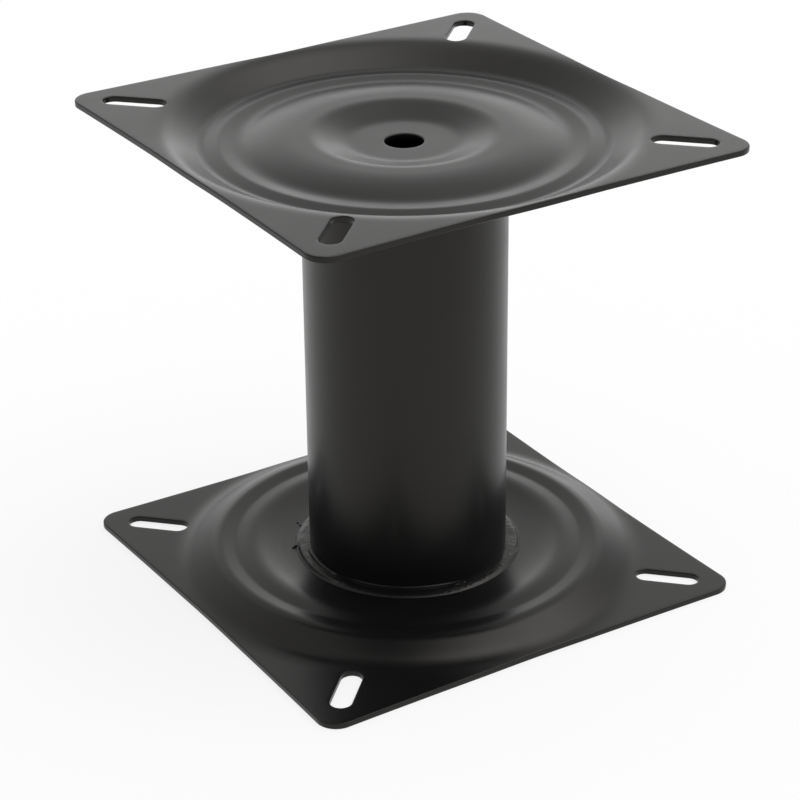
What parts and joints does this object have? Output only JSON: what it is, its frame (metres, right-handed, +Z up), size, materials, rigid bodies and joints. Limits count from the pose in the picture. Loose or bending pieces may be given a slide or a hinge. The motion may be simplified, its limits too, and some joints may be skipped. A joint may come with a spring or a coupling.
{
  "type": "boat seat pedestal",
  "caption": "Fixed boat seat pedestal: a short round steel tube welded between two square plates pressed with ringed dishes, with a slot at each corner.",
  "frame": {"origin": "middle of the base plate's underside, in the plane that rests on the deck", "axes": "+Z up the tube to the seat, plate sides along X and Y"},
  "size_m": [0.18, 0.18, 0.18],
  "materials": {
    "powder_coat": "satin black powder coat on pressed steel",
    "tube_coat": "satin black powder coat on round steel tube",
    "weld_coat": "satin black powder coat over a weld bead"
  },
  "bodies": {
    "root": {"base_plate": "powder_coat", "top_plate": "powder_coat", "column_tube": "tube_coat", "base_weld_bead": "weld_coat", "top_weld_bead": "weld_coat"}
  },
  "joints": []
}
